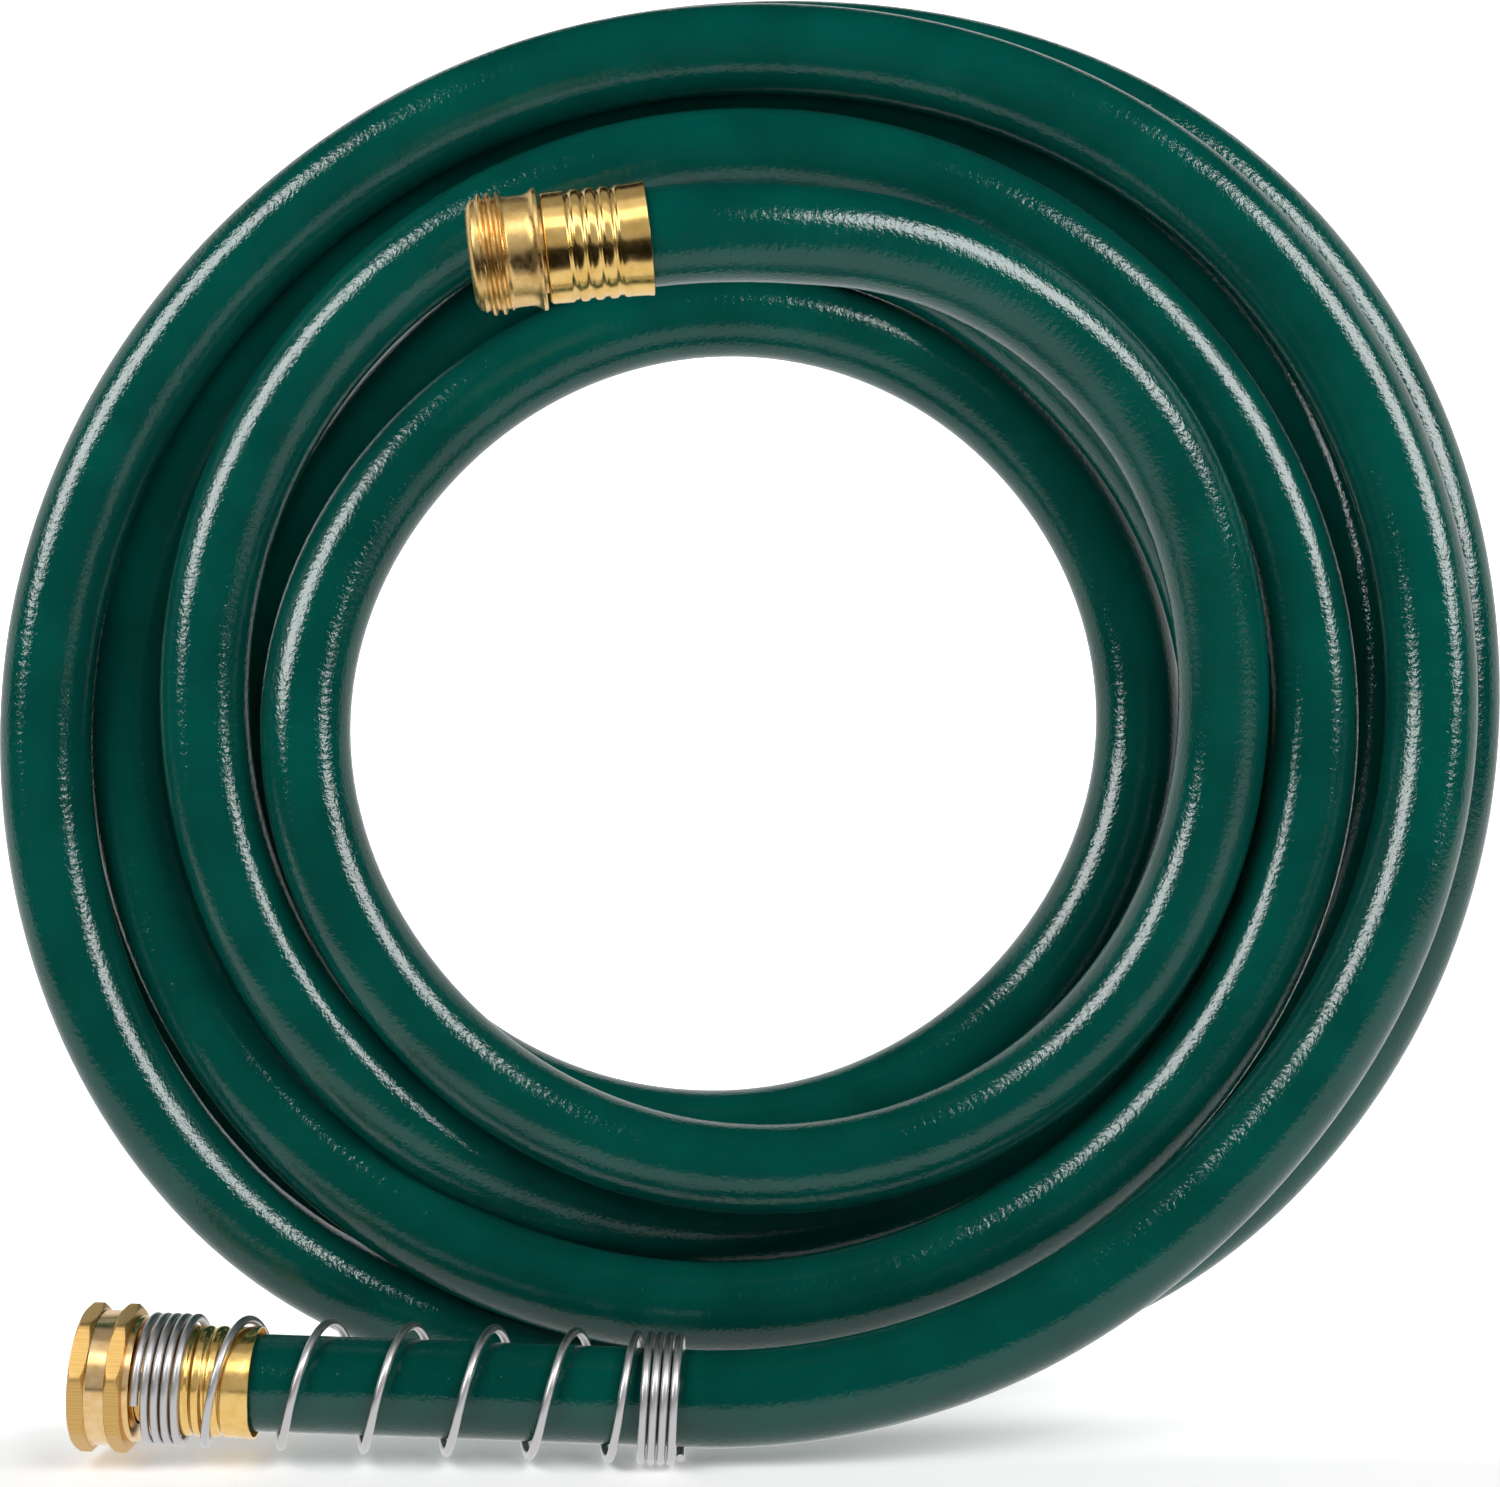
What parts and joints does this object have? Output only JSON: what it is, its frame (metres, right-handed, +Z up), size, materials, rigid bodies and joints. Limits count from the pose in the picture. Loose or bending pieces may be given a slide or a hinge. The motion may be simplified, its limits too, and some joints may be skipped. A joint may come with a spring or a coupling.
{
  "type": "garden hose",
  "caption": "Garden hose wound in a loose coil on its rim, with a threaded brass male end, a brass swivel nut and a steel wire spring guard round its tail.",
  "frame": {"origin": "on the floor, under the middle of the coil's bounding box", "axes": "+Z up, the coil's axis along Y with its front towards -Y, the tail and its swivel nut pointing to -X"},
  "size_m": [0.3774, 0.123, 0.3585],
  "materials": {
    "hose_vinyl": "glossy extruded vinyl with fine ripples round the hose",
    "turned_brass": "machined brass, bright",
    "pressed_brass": "drawn and crimped brass, polished",
    "spring_steel": "bright drawn wire",
    "washer_rubber": "matt black"
  },
  "bodies": {
    "hose": {"hose_coil": "hose_vinyl", "hose_tail": "hose_vinyl", "hose_male_end": "hose_vinyl", "male_coupling": "turned_brass", "male_ferrule": "pressed_brass", "female_tailpiece": "turned_brass", "female_ferrule": "pressed_brass", "spring_guard": "spring_steel"},
    "nut": {"swivel_nut": "turned_brass", "hose_washer": "washer_rubber"}
  },
  "joints": [
    {"name": "nut_swivel", "type": "hinge", "parent": "hose", "child": "nut", "pos_m": [-0.1543, -0.02723, 0.01994], "axis": [0.9993, 0, -0.0366], "continuous": true}
  ]
}
